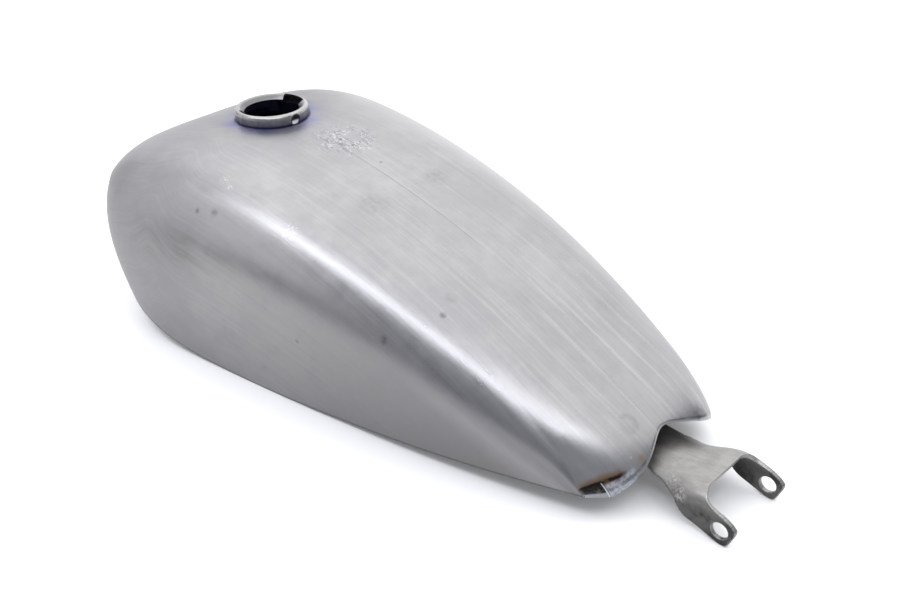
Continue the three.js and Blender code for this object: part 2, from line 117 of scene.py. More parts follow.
def hem_height(u):
    """Rises by a power of the distance from its lowest place, to the tail and to the nose."""
    rear = HEM_REAR[0] * np.clip(1 - u / HEM_LOW, 0, 1) ** HEM_REAR[1]
    front = HEM_FRONT[0] * np.clip((u - HEM_LOW) / (1 - HEM_LOW), 0, 1) ** HEM_FRONT[1]
    return rear + front


def nose_share(x):
    """How much of the full section is left: a superellipse quarter over the nose's length."""
    t = np.clip((x - LENGTH + NOSE_LENGTH) / NOSE_LENGTH, 0, 1)
    return (1 - t ** NOSE_POWER) ** (1 / NOSE_POWER)


def shape_ends(x, y, z, hem):
    """Sets low points back at the nose, waves the tail edge in plan and curls it down."""
    low = np.clip(1 - z / CHIN_TOP, 0, 1)
    raked = x - CHIN_RAKE * low ** 0.87 * np.clip((x - CHIN_START) / (LENGTH - CHIN_START), 0, 1)
    side = np.minimum(np.hypot(y / HALF_WIDTHS[0], TAIL_ROUND), 1)
    centre, wave, corner = TAIL_EDGE
    edge = corner * side ** 4 - centre - wave * np.sin(np.pi * side ** 1.18)
    fade = np.clip(1 - raked / TAIL_REACH, 0, 1) ** 1.5
    c = np.clip(1 - x / TAIL_CURL[0], 0, 1)
    curl = 1 - np.sqrt(1 - c * c)
    drop = np.minimum(TAIL_CURL[1] * side ** 1.34, np.maximum(z - hem, 0))
    return np.stack([raked + edge * fade, y, z - drop * curl], -1)


def skin(x, w):
    """Outer face. Each section is a superellipse arch whose sides lean in towards the hem; w runs
    from -1 at the right hem over the crown to 1 at the left hem."""
    u = x / LENGTH
    n, m = curve_at(TOP_SQUARENESS, u), curve_at(SIDE_SQUARENESS, u)
    half = math.sqrt(0.5)
    t = np.abs(w)
    on_top = t < 0.5
    top_s = (half ** (2 / n) * (1 - np.clip(1 - 2 * t, 0, 1) ** 1.4)) ** (n / 2)
    side_c = (half ** (2 / m) * (1 - np.clip(2 * t - 1, 0, 1) ** 1.25)) ** (m / 2)
    s = np.where(on_top, top_s, np.sqrt(1 - side_c ** 2))
    c = np.where(on_top, np.sqrt(1 - top_s ** 2), side_c)
    rise = c ** (2 / m)
    width = curve_at(HALF_WIDTHS, u) - curve_at(TUCK_IN, u) * (1 - rise) ** 2
    hem = hem_height(u)
    y = s ** (2 / n) * width
    z = mix(hem, curve_at(CROWN_HEIGHTS, u), rise)
    mouth_y = s ** (2 / MOUTH_SQUARENESS) * MOUTH[0]
    mouth_z = mix(MOUTH[1], MOUTH[2], c ** (2 / MOUTH_SQUARENESS))
    k = nose_share(x)
    return shape_ends(x, np.sign(w) * mix(mouth_y, y, k), mix(mouth_z, z, k), hem)


def inset(surface, x, w, depth, ends=(-1, 1)):
    """The surface moved in by depth along its normal, which comes from small differences."""
    x0, x1 = np.maximum(0, x - 0.6), np.minimum(LENGTH, x + 0.6)
    w0, w1 = np.maximum(ends[0], w - 0.012), np.minimum(ends[1], w + 0.012)
    normal = np.cross(surface(x1, w) - surface(x0, w), surface(x, w1) - surface(x, w0))
    normal /= np.linalg.norm(normal, axis=-1, keepdims=True)
    return surface(x, w) - normal * depth


def behind_skin(x, w):
    """Where a sheet lapped behind the shell has its upper face."""
    return inset(skin, x, w, GAUGE + LAP_GAP)


def tunnel_foot(x):
    return mix(MOUTH[0] - GAUGE - LAP_GAP - 1, TUNNEL_HALF, smooth((LENGTH - x) / 90))


def pan(x, w):
    """Upper face of the tunnel and the floors: a superellipse arch over the middle half of the
    sheet, straight across to the hem, then down behind the shell. Both ends ease onto the shell."""
    t, side = np.abs(w), np.sign(w)
    hem = mix(MOUTH[1], hem_height(x / LENGTH), nose_share(x))
    corner = behind_skin(x, side * FLANGE_TOP)
    angle = np.clip(t / TUNNEL_SHARE, 0, 1) * 0.5 * np.pi
    y = tunnel_foot(x) * np.sin(angle) ** (2 / TUNNEL_SQUARENESS)
    lift = np.clip(np.cos(angle), 0, 1) ** (2 / TUNNEL_SQUARENESS)
    z = mix(corner[..., 2], mix(*TUNNEL_ROOF, x / LENGTH), lift)
    arch = shape_ends(x, side * y, z, hem)
    share = np.clip((t - TUNNEL_SHARE) / (FLANGE_TOP - TUNNEL_SHARE), 0, 1)[..., None]
    free = (smooth(x / TAIL_BLEND) * smooth((LENGTH - x) / NOSE_BLEND))[..., None]
    sheet = mix(behind_skin(x, w), mix(arch, corner, share), free)
    return np.where((t < FLANGE_TOP)[..., None], sheet, behind_skin(x, w))


# ---- materials ----

class Term:
    """One output of a material's nodes. Arithmetic on it adds Math nodes."""

    def __init__(self, owner, socket):
        self.owner = owner
        self.socket = socket

    def math(self, operation, a, b=0.0):
        return self.owner.add("ShaderNodeMath", {"operation": operation}, {0: a, 1: b})

    def __add__(self, other):
        return self.math("ADD", self, other)

    def __radd__(self, other):
        return self.math("ADD", other, self)

    def __sub__(self, other):
        return self.math("SUBTRACT", self, other)

    def __rsub__(self, other):
        return self.math("SUBTRACT", other, self)

    def __mul__(self, other):
        return self.math("MULTIPLY", self, other)

    def __rmul__(self, other):
        return self.math("MULTIPLY", other, self)

    def __abs__(self):
        return self.math("ABSOLUTE", self)

    def clamp(self):
        return self.owner.add("ShaderNodeClamp", {}, {0: self, 1: 0.0, 2: 1.0})

    def ease(self, low, high):
        """0 below low, 1 above high, smooth between."""
        settings = {"interpolation_type": "SMOOTHSTEP"}
        return self.owner.add("ShaderNodeMapRange", settings, {0: self, 1: low, 2: high, 3: 0.0, 4: 1.0})


class Finish:
    """A material whose nodes come from add()."""

    def __init__(self, name, **constants):
        self.material = bpy.data.materials.new(name)
        self.material.use_nodes = True
        self.tree = self.material.node_tree
        self.shader = self.tree.nodes["Principled BSDF"]
        for key, value in constants.items():
            self.shader.inputs[key.replace("_", " ")].default_value = value

    def add(self, kind, settings, sockets, out=0):
        node = self.tree.nodes.new(kind)
        for key, value in settings.items():
            setattr(node, key, value)
        for key, value in sockets.items():
            if isinstance(value, Term):
                self.tree.links.new(value.socket, node.inputs[key])
            else:
                node.inputs[key].default_value = value
        return Term(self, node.outputs[out])

    def feed(self, key, term):
        self.tree.links.new(term.socket, self.shader.inputs[key])

    def place(self):
        return self.add("ShaderNodeTexCoord", {}, {}, "Object")

    def sheet_place(self):
        return self.add("ShaderNodeUVMap", {"uv_map": "sheet"}, {})

    def split(self, place):
        """The first two numbers of a place."""
        parts = self.tree.nodes.new("ShaderNodeSeparateXYZ")
        self.tree.links.new(place.socket, parts.inputs[0])
        return Term(self, parts.outputs[0]), Term(self, parts.outputs[1])

    def stored(self, name):
        return self.add("ShaderNodeAttribute", {"attribute_name": name}, {}, "Fac")

    def scaled(self, place, scale, turn=0.0, shift=(0, 0, 0)):
        sockets = {"Vector": place, "Scale": scale, "Rotation": (0, 0, turn), "Location": shift}
        return self.add("ShaderNodeMapping", {}, sockets)

    def noise(self, place, scale, detail=4.0, roughness=0.55, distortion=0.0):
        sockets = {"Vector": place, "Scale": scale, "Detail": detail, "Roughness": roughness,
                   "Distortion": distortion}
        return self.add("ShaderNodeTexNoise", {}, sockets, "Fac")

    def blend(self, a, b, share):
        """From colour a to colour b by share."""
        a, b = (v if isinstance(v, Term) else (*v, 1) for v in (a, b))
        return self.add("ShaderNodeMix", {"data_type": "RGBA"}, {0: share, 6: a, 7: b}, 2)

    def spot(self, place, centre, radius, soft=0.6):
        """1 at centre and 0 past radius, in the part's metres."""
        settings = {"operation": "DISTANCE"}
        away = self.add("ShaderNodeVectorMath", settings, {0: place, 1: centre}, "Value")
        return 1 - away.ease(radius * soft, radius)

    def bump(self, height, distance, strength):
        sockets = {"Height": height, "Distance": distance, "Strength": strength}
        self.feed("Normal", self.add("ShaderNodeBump", {}, sockets))


def body_steel():
    """Bare sheet steel rubbed along its length: cloudy tone, fine grain, painted shade on the flanks and
    a painted shade band below the fold, the top darker towards the tail, paler polishing streaks at the
    rear of the top, a butt seam, a ground patch, handling marks, blued steel round the neck, a scorched
    corner at the tail, and a painted highlight and a thin painted shade line along the tail's edge."""
    f = Finish("rubbed_sheet_steel", Metallic=1.0)
    place, sheet = f.place(), f.sheet_place()
    along, across = f.split(sheet)
    tail, neck_gap, hem_gap = f.stored("from_tail"), f.stored("from_neck"), f.stored("to_hem")
    wide = f.noise(place, 11.0, 3.0)
    mottle = f.noise(place, 70.0, 4.0, 0.6)
    streak = f.noise(f.scaled(sheet, (7, 260, 1)), 1.0, 5.0, 0.65)
    grain = f.noise(f.scaled(sheet, (45, 1500, 1), 0.06), 1.0, 4.0, 0.7)
    cross_grain = f.noise(f.scaled(sheet, (60, 900, 1), -0.5), 1.0, 3.0, 0.7)
    cloudy = (wide * 0.55 + mottle * 0.45).ease(0.35, 0.65)
    tone = f.blend((0.268, 0.264, 0.27), (0.322, 0.318, 0.318), cloudy)
    tone = f.blend(tone, (0.38, 0.38, 0.384), streak.ease(0.5, 0.78) * 0.45)
    tone = f.blend(tone, (0.2, 0.197, 0.204), (1 - streak.ease(0.25, 0.5)) * 0.35)
    tone = f.blend(tone, (0.46, 0.46, 0.46), grain.ease(0.52, 0.85) * 0.3)
    tone = f.blend(tone, (0.15, 0.15, 0.157), (1 - grain.ease(0.2, 0.48)) * 0.3)

    # Painted shade: the flanks are darkened, most strongly near the tail.
    flank_shade = abs(across).ease(0.085, 0.12)
    tone = f.blend(tone, (0.2, 0.195, 0.198), flank_shade * (0.95 - tail.ease(0.05, 0.3) * 0.7))
    # The top is made darker towards the tail.
    tone = f.blend(tone, (0.19, 0.187, 0.195), (1 - tail.ease(0.04, 0.2)) * (1 - flank_shade) * 0.3)

    # Painted shade: a dark band just below the fold on both sides, fading out towards the front.
    below_fold_shade = 1 - abs(abs(across) - 0.076 - tail * 0.2).ease(0.002, 0.013)
    tone = f.blend(tone, (0.09, 0.09, 0.1), below_fold_shade * (1 - tail.ease(0.07, 0.14)) * 0.42)

    top = 1 - abs(across).ease(0.035, 0.07)
    polished = f.noise(f.scaled(sheet, (6, 210, 1), 0, (3, 0, 0)), 1.0, 3.0, 0.6).ease(0.5, 0.66)
    rear = (1 - tail.ease(0.07, 0.19)) * top * polished
    tone = f.blend(tone, (0.42, 0.42, 0.425), rear * 0.24)

    seam = (1 - abs(across).ease(0.0001, 0.0004)) * along.ease(-0.05, -0.03)
    seam = seam * (1 - along.ease(0.086, 0.09))
    tone = f.blend(tone, (0.12, 0.12, 0.12), seam * 0.55)

    ground = f.spot(place, (0.096, -0.009, 0.135), 0.03, 0.35)
    ground = ground * f.noise(place, 130.0, 3.0).ease(0.4, 0.55)
    scratch = f.noise(f.scaled(place, (260, 900, 200), 0.9), 1.0, 4.0, 0.75, 1.5)
    tone = f.blend(tone, (0.56, 0.57, 0.6), ground * scratch.ease(0.52, 0.6) * 0.85)
    tone = f.blend(tone, (0.08, 0.08, 0.08), ground * (1 - scratch.ease(0.4, 0.47)) * 0.85)

    marks = f.noise(place, 260.0, 3.0).ease(0.42, 0.6)
    for centre, radius, strength in (
        ((0.0268, 0.0303, 0.1241), 0.017, 0.22), ((0.0248, -0.0284, 0.1237), 0.013, 0.25),
        ((-0.0658, 0.0617, 0.0917), 0.0032, 0.7), ((0.0578, -0.0084, 0.1305), 0.0018, 0.9),
        ((0.1202, 0.1025, 0.1129), 0.0028, 0.6), ((0.106, 0.0989, 0.1149), 0.004, 0.5),
        ((-0.0435, 0.0906, 0.0778), 0.004, 0.6), ((0.0199, 0.1069, 0.0563), 0.002, 0.6),
        ((-0.061, 0.0495, 0.0964), 0.006, 0.2), ((-0.1963, -0.0299, 0.033), 0.011, 0.6),
    ):
        mark = f.spot(place, centre, radius, 0.2) * (marks * 0.5 + 0.5)
        tone = f.blend(tone, (0.09, 0.09, 0.095), mark * strength)
    for centre, radius in (((0.1158, 0.0804, 0.1293), 0.006), ((0.047, 0.0835, 0.1164), 0.009),
                           ((0.108, 0.083, 0.1272), 0.004), ((-0.1903, 0.0362, 0.0369), 0.0032)):
        scuff = f.noise(f.scaled(sheet, (500, 1100, 1), 0.7), 1.0, 3.0).ease(0.48, 0.66)
        tone = f.blend(tone, (0.5, 0.495, 0.49), f.spot(place, centre, radius, 0.1) * scuff * 0.8)

    smear_run = f.noise(f.scaled(sheet, (16, 120, 1), 0.1), 1.0, 4.0, 0.6)
    smear = f.spot(f.scaled(place, (0.45, 1, 1.6)), (0.06, 0.1165, 0.137), 0.034, 0.1)
    tone = f.blend(tone, (0.13, 0.112, 0.1), smear * smear_run.ease(0.42, 0.66) * 0.35)

    # heat tints round the neck
    haze = f.noise(place, 90.0, 4.0, 0.65)
    patchy = f.noise(place, 45.0, 3.0, 0.6).ease(0.4, 0.62)
    near_neck = neck_gap + (haze - 0.5) * 0.02
    tone = f.blend(tone, (0.12, 0.13, 0.32), (1 - near_neck.ease(-0.002, 0.017)) * (patchy * 0.7 + 0.15))
    tone = f.blend(tone, (0.03, 0.04, 0.2), (1 - near_neck.ease(-0.005, 0.006)) * (patchy * 0.5 + 0.45))
    tone = f.blend(tone, (0.015, 0.015, 0.03), (1 - neck_gap.ease(0.0003, 0.0016)) * 0.9)

    # scorched left corner of the tail, with the rest of the tail's edge
    fray = f.noise(place, 420.0, 3.0, 0.7)
    from_edge = tail + (haze - 0.5) * 0.0016
    left = across.ease(0.039, 0.043)
    strip = left * (1 - across.ease(0.0615, 0.0625)) * (1 - from_edge.ease(0.0021, 0.0028))
    patch = across.ease(0.0605, 0.062) * (1 - across.ease(0.0735, 0.0775))
    patch = patch * (1 - from_edge.ease(0.0031, 0.0038))
    line = across.ease(0.043, 0.052) * (1 - across.ease(0.07, 0.079))
    off_line = abs(from_edge - 0.0034 + abs(across - 0.062) * 0.04)
    tone = f.blend(tone, (0.17, 0.09, 0.045), line * (1 - off_line.ease(0.0005, 0.003)) * 0.85)
    tone = f.blend(tone, (0.4, 0.44, 0.52), strip * (fray.ease(0.35, 0.6) * 0.65 + 0.1))
    tone = f.blend(tone, (0.16, 0.17, 0.2), strip * (1 - fray.ease(0.3, 0.45)) * 0.7)
    tone = f.blend(tone, (0.02, 0.02, 0.02), patch * (fray.ease(0.36, 0.5) * 0.3 + 0.68))
    burnt = line * (1 - off_line.ease(0.0002, 0.0009)) * haze.ease(0.25, 0.45)
    tone = f.blend(tone, (0.02, 0.015, 0.015), burnt)
    weld_line = (1 - abs(across - 0.062).ease(0.0002, 0.0006)) * (1 - from_edge.ease(0.003, 0.0034))
    tone = f.blend(tone, (0.6, 0.62, 0.66), weld_line * 0.8)
    rust = f.spot(place, (-0.1950, 0.0306, 0.0341), 0.0045, 0.1)
    tone = f.blend(tone, (0.3, 0.17, 0.09), rust * patchy * 0.6)
    stain = f.spot(place, (-0.1785, 0.0219, 0.0454), 0.0085, 0.7)
    stain = stain - f.spot(place, (-0.178, 0.0215, 0.0454), 0.0055, 0.3) * 0.5
    tone = f.blend(tone, (0.13, 0.13, 0.13), stain.clamp() * haze.ease(0.3, 0.6) * 0.3)
    for centre in ((-0.1874, 0.0576, 0.0187), (-0.1978, -0.0268, 0.0306)):
        tone = f.blend(tone, (0.02, 0.02, 0.02), f.spot(place, centre, 0.0022, 0.4) * 0.9)
    # Painted shade: a thin dark line just in from the tail's edge.
    crease_shade = (1 - abs(from_edge - 0.001).ease(0.0002, 0.0005)) * (1 - patch) * haze.ease(0.35, 0.55)
    tone = f.blend(tone, (0.08, 0.08, 0.08), crease_shade * 0.6)
    # Painted highlight: the tail's cut edge is drawn paler.
    tone = f.blend(tone, (0.42, 0.42, 0.43), (1 - tail.ease(0.0003, 0.0007)) * (1 - strip) * 0.55)
    tone = f.blend(tone, (0.07, 0.07, 0.07), (1 - hem_gap.ease(0.0004, 0.0016)) * 0.7)
    f.feed("Base Color", tone)

    rough = 0.31 + tail.ease(0.24, 0.4) * 0.18 + (streak - 0.5) * 0.14 + (mottle - 0.5) * 0.12
    f.feed("Roughness", rough + ground * 0.12 - rear * 0.05 + strip * 0.15)
    height = streak * 0.35 + grain * 0.4 + cross_grain * 0.25
    height = height - seam * 0.8 + ground * scratch * 0.8 + strip * haze * 2.5
    f.bump(height, 0.00011, 0.75)
    return f.material


def plain_steel(name, dark, light, rough, grain_size=900.0):
    """Duller steel: cloudy tone and a fine grain."""
    f = Finish(name, Metallic=1.0)
    place = f.place()
    cloud = f.noise(place, 35.0, 5.0)
    grain = f.noise(place, grain_size, 3.0, 0.65)
    f.feed("Base Color", f.blend(dark, light, (cloud * 0.6 + grain * 0.4).ease(0.35, 0.65)))
    f.feed("Roughness", rough + (cloud - 0.5) * 0.25)
    f.bump(grain, 0.00006, 0.6)
    return f.material


def mill_scale():
    """Rolled plate as it left the mill: warm grey scale, fine pits, paler rims that are partly sheared
    metal and partly a painted edge highlight, scuffs along the folds, and painted shade darkening the
    upright ears."""
    f = Finish("mill_scale_plate", Metallic=1.0)
    place = f.place()
    fold, rim = f.stored("fold"), f.stored("rim")
    cloud = f.noise(place, 60.0, 5.0, 0.6)
    pits = f.noise(place, 1400.0, 3.0, 0.7)
    rub = f.noise(f.scaled(place, (90, 300, 300), 0.3), 1.0, 4.0, 0.7)
    tone = f.blend((0.22, 0.214, 0.204), (0.3, 0.292, 0.28), (cloud * 0.6 + rub * 0.4).ease(0.38, 0.62))
    # Painted shade: the upright ears are darkened.
    ears = fold.ease(0.026, 0.036) * (0.68 + cloud.ease(0.42, 0.58) * 0.3)
    tone = f.blend(tone, (0.045, 0.044, 0.042), ears)
    rubbed = f.spot(place, (-0.2125, 0.0222, 0.0205), 0.0065, 0.3)
    rubbed = rubbed + f.spot(place, (-0.221, 0.0245, 0.0185), 0.0075, 0.3)
    scuffed = rubbed.clamp() * f.noise(place, 620.0, 3.0, 0.7).ease(0.44, 0.6)
    tone = f.blend(tone, (0.52, 0.51, 0.5), scuffed * 0.7)
    tone = f.blend(tone, (0.12, 0.12, 0.12), (1 - pits.ease(0.3, 0.42)) * 0.4)
    # Paler rims: partly sheared metal, partly a painted edge highlight.
    tone = f.blend(tone, (0.4, 0.4, 0.395), rim.ease(0.75, 1.0) * 0.5)
    f.feed("Base Color", tone)
    f.feed("Roughness", 0.46 + (cloud - 0.5) * 0.3 - scuffed * 0.12)
    f.bump(pits * 0.6 + rub * 0.4, 0.00012, 0.6)
    return f.material


def neck_steel():
    """Turned and pressed steel: rings round the neck, a paler crest as a painted highlight, painted
    shade on the lip's inner slope, heat-darkened and blued towards its foot, painted shade inside the
    dimple's upper part and a painted highlight low in it."""
    f = Finish("turned_neck_steel", Metallic=1.0)
    place, sheet = f.place(), f.sheet_place()
    lift, dimple, lip = f.stored("lift"), f.stored("dimple"), f.stored("lip")
    rings = f.noise(f.scaled(sheet, (25, 2200, 1)), 1.0, 3.0, 0.6)
    cloud = f.noise(place, 160.0, 4.0, 0.6)
    tone = f.blend((0.2, 0.197, 0.2), (0.29, 0.283, 0.285), (rings * 0.5 + cloud * 0.5).ease(0.35, 0.65))
    # Painted highlight: the crest is paler.
    tone = f.blend(tone, (0.4, 0.39, 0.39), lift.ease(0.0068, 0.0084) * 0.6)
    # Painted shade on the lip's inner slope.
    tone = f.blend(tone, (0.1, 0.1, 0.105), lip * (cloud * 0.5 + 0.45))
    foot = 1 - (lift + (cloud - 0.5) * 0.004).ease(0.0006, 0.0062)
    tone = f.blend(tone, (0.1, 0.1, 0.13), foot * 0.75)
    tone = f.blend(tone, (0.02, 0.02, 0.07), (1 - lift.ease(0.0004, 0.0022)) * 0.9)
    # Painted shade in the dimple's upper part and a painted highlight low in it.
    tone = f.blend(tone, (0.03, 0.03, 0.03), dimple.ease(0.1, 0.3) * 0.85)
    dimple_highlight = dimple.ease(0.3, 0.55) * (1 - lift.ease(0.0018, 0.0034))
    tone = f.blend(tone, (0.85, 0.85, 0.85), dimple_highlight * 0.9)
    f.feed("Base Color", tone)
    f.feed("Roughness", 0.3 + (cloud - 0.5) * 0.25 + foot * 0.15)
    f.bump(rings * 0.6 + cloud * 0.4, 0.00006, 0.6)
    return f.material


finishes = {
    "body_steel": body_steel(),
    "pan_steel": plain_steel("dull_pan_steel", (0.25, 0.25, 0.25), (0.38, 0.375, 0.37), 0.5),
    "weld_steel": plain_steel("dark_weld", (0.08, 0.08, 0.1), (0.26, 0.24, 0.23), 0.42, 500.0),
    "neck_steel": neck_steel(),
    "mount_steel": mill_scale(),
}


# ---- mesh making ----

def make_object(name, points, faces, slot, uv=None, replaces=(), floats=None, smooth_below=38):
    """A piece from points in millimetres and its faces, with smooth shading split at sharp bends.
    Points that no face uses are left out."""
    used, faces = np.unique(faces, return_inverse=True)
    faces = faces.reshape(-1, 4)
    mesh = bpy.data.meshes.new(name)
    mesh.from_pydata(((points[used] + (TAIL_DATUM, 0, 0)) / 1000).tolist(), [], faces.tolist())
    mesh.polygons.foreach_set("use_smooth", np.ones(len(mesh.polygons), bool))
    if uv is not None:
        corners = np.empty(len(mesh.loops), int)
        mesh.loops.foreach_get("vertex_index", corners)
        layer = mesh.uv_layers.new(name="sheet")
        layer.data.foreach_set("uv", (uv[used][corners] / 1000).ravel())
    for key, values in (floats or {}).items():
        attribute = mesh.attributes.new(key, "FLOAT", "POINT")
        attribute.data.foreach_set("value", values[used].astype(np.float32))
    mesh.update()
    mesh.set_sharp_from_angle(angle=math.radians(smooth_below))
    mesh.materials.append(finishes[slot])
    piece = bpy.data.objects.new(name, mesh)
    bpy.context.scene.collection.objects.link(piece)
    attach(piece, "root")
    if replaces:
        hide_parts(*replaces)
    return piece


def grid_faces(rows, columns, wrap=False):
    """Quads of a grid of points, row by row; wrap joins the last column to the first."""
    i, j = np.meshgrid(np.arange(rows - 1), np.arange(columns - (not wrap)), indexing="ij")
    k = (j + 1) % columns
    quads = [i * columns + j, (i + 1) * columns + j, (i + 1) * columns + k, i * columns + k]
    return np.stack(quads, -1).reshape(-1, 4)


def sheet_faces(keep, layers=2):
    """Quads of a sheet whose kept cells are true in keep: its first and last layers of points, with
    a wall through all the layers at every edge."""
    rows, columns = keep.shape[0] + 1, keep.shape[1] + 1
    size = rows * columns
    cells = grid_faces(rows, columns)[keep.ravel()]
    padded = np.pad(keep, 1)
    parts = [cells, cells[:, ::-1] + size * (layers - 1)]
    for di, dj, corners in ((-1, 0, (3, 0)), (1, 0, (1, 2)), (0, -1, (0, 1)), (0, 1, (2, 3))):
        beside = padded[1 + di:1 + di + keep.shape[0], 1 + dj:1 + dj + keep.shape[1]]
        rim = grid_faces(rows, columns)[(keep & ~beside).ravel()]
        a, b = rim[:, corners[0]], rim[:, corners[1]]
        parts += [np.stack([b, a, a + size, b + size], -1) + size * n for n in range(layers - 1)]
    return np.concatenate(parts)


def turned_faces(rows, columns):
    """Quads of a closed profile turned right round: both ways of the grid join up."""
    return grid_faces(rows + 1, columns, wrap=True) % (rows * columns)


def girth(points):
    """Length along each row of a grid, from its first column."""
    step = np.linalg.norm(np.diff(points, axis=1), axis=-1)
    return np.concatenate([np.zeros((len(points), 1)), np.cumsum(step, 1)], 1)


# ---- filler neck's place ----

filler_foot = skin(np.array(FILLER_X), np.array(0.0))
filler_axis = np.array([math.sin(FILLER_TILT), 0, math.cos(FILLER_TILT)])


def in_filler(points):
    """From the neck's own frame, foot on the shell and Z along the neck, to the part's."""
    forward = np.array([math.cos(FILLER_TILT), 0, -math.sin(FILLER_TILT)])
    side = np.array([0.0, 1.0, 0.0])
    return filler_foot + points @ np.stack([forward, side, filler_axis])


def filler_radius(points):
    """Distance of points from the neck's leaning axis."""
    away = points - filler_foot
    return np.linalg.norm(away - (away @ filler_axis)[..., None] * filler_axis, axis=-1)


# ---- body sheets ----

def two_layers(name, surface, stations, columns, depth, slot, replaces, hole=0.0):
    """A sheet between a surface and its inset. Where it has a hole, the rows near the hole are drawn
    onto its rim, and the rim is raised a little by a falling exponential, as brazing leaves it."""
    x, w = np.meshgrid(stations, columns, indexing="ij")
    ends = (columns[0], columns[-1])
    face = surface(x, w)
    back = inset(surface, x, w, depth, ends)
    keep = np.ones((len(stations) - 1, len(columns) - 1), bool)
    radius = filler_radius(face)
    if hole:
        inside = radius < hole
        keep = ~(inside[:-1, :-1] & inside[1:, :-1] & inside[:-1, 1:] & inside[1:, 1:])
        spread = np.maximum(hole / np.maximum(radius, 1e-6), 1)[..., None]
        for layer in (face, back):
            layer[..., :2] = mix(filler_foot[:2], layer[..., :2], spread)
        face[..., 2] += 0.9 * np.exp(-np.maximum(radius - COLLAR_RADIUS, 0) / 1.1)
    run = girth(face)
    run -= run[:, [int(np.argmin(np.abs(columns)))]]
    hem = run[:, [-1 if columns[-1] > FLANGE_TOP else 0]]
    uv = np.stack([face[..., 0] + TAIL_DATUM, run], -1).reshape(-1, 2)
    points = np.concatenate([face.reshape(-1, 3), back.reshape(-1, 3)])
    floats = {
        "from_tail": np.tile(x.ravel(), 2) / 1000,
        "from_neck": np.tile(radius.ravel() - COLLAR_RADIUS, 2) / 1000,
        "to_hem": np.tile(np.abs(run - hem).ravel(), 2) / 1000,
    }
    return make_object(name, points, sheet_faces(keep), slot, np.tile(uv, (2, 1)), replaces, floats)


def crowded(count):
    """Stations along the tank, closer together towards its two ends by a cosine."""
    return LENGTH * 0.5 * (1 - np.cos(np.linspace(0, np.pi, count)))


def body_sheets():
    """Both shells, the tunnel and the right floor, with columns crowded at the hem's flange."""
    stations = crowded(221)
    half = np.concatenate([np.linspace(0, 0.96, 89), np.linspace(0.965, 1, 6)])
    hole = COLLAR_RADIUS - BRAZED_LAP
    two_layers("left_shell_skin", skin, stations, half, GAUGE, "body_steel", ["left_shell"], hole)
    two_layers("right_shell_skin", skin, stations, -half[::-1], GAUGE, "body_steel",
               ["right_shell"], hole)
    sheet_stations = crowded(141)
    tunnel_columns = np.linspace(-TUNNEL_SHARE, TUNNEL_SHARE, 81)
    two_layers("tunnel_sheet", pan, sheet_stations, tunnel_columns, GAUGE, "pan_steel", ["tunnel"])
    floor_columns = np.concatenate([np.linspace(TUNNEL_SHARE, FLANGE_TOP, 24),
                                    np.linspace(FLANGE_TOP + 0.005, 1, 6)])
    two_layers("right_floor_sheet", pan, sheet_stations[6:-6], -floor_columns[::-1], GAUGE,
               "pan_steel", ["right_floor"])


# ---- filler neck ----

def filler_neck():
    """The neck is a closed profile turned about its axis: band, rounded crest, lip sloping in and
    down, then the inner wall. The lip's reach shrinks to nothing inside the two notches, a round
    dimple is pressed into the rear of the band, and a fine groove marks the band's joint."""
    angle = np.linspace(0, 2 * np.pi, 480, endpoint=False)[:, None]
    off_side = np.abs(np.abs(angle - np.pi) - np.pi / 2)
    lip = smooth((off_side - NOTCH_HALF) / math.radians(1.2))
    bend = np.linspace(0, np.pi / 2, 14)
    slope = np.linspace(0, 1, 9)
    centre_r, centre_z = COLLAR_RADIUS - CREST_RADIUS, COLLAR_RISE - CREST_RADIUS
    under = slope[::-1]
    radius = np.concatenate([
        np.full(46, COLLAR_RADIUS), centre_r + CREST_RADIUS * np.cos(bend[1:]),
        mix(centre_r, LIP_INNER, slope[1:]), mix(centre_r, LIP_INNER + 0.2, under),
        np.full(10, COLLAR_RADIUS - COLLAR_BAND)])[None]
    height = np.concatenate([
        np.linspace(-COLLAR_DEPTH, centre_z, 46), centre_z + CREST_RADIUS * np.sin(bend[1:]),
        COLLAR_RISE - LIP_DROP * slope[1:] ** 1.3, COLLAR_RISE - LIP_GAUGE - LIP_DROP * under ** 1.3,
        np.linspace(centre_z, -COLLAR_DEPTH, 10)])[None]
    radius, height = radius + 0 * angle, height + 0 * angle
    shy = centre_r + 0.2
    radius = np.where((radius < shy) & (height > centre_z - 2.5), mix(shy, radius, lip), radius)
    outer = radius > COLLAR_RADIUS - 1.0
    across = (angle - np.pi) * COLLAR_RADIUS
    hit = np.hypot(across, height - 2.9) / 4.3
    groove = 0.3 * np.exp(-((angle - np.pi / 2) / 0.011) ** 2)
    dish = 1.5 * (1 - np.clip(hit, 0, 1) ** 2) - 0.2 * np.exp(-((hit - 1.1) / 0.12) ** 2)
    radius = radius - np.where(outer, groove + dish, 0)
    points = np.stack([radius * np.cos(angle), radius * np.sin(angle), height], -1)
    rows, columns = radius.shape
    floats = {"dimple": np.clip(1.15 - hit, 0, 1).ravel(), "lift": height.ravel() / 1000,
              "lip": np.clip((centre_r - radius) / 1.5, 0, 1).ravel()}
    uv = np.stack([across.repeat(columns, 1), height], -1).reshape(-1, 2)
    points = in_filler(points).reshape(-1, 3)
    make_object("filler_neck", points, turned_faces(rows, columns), "neck_steel", uv,
                ["filler_collar"], floats, 50)


# ---- fuel outlet ----

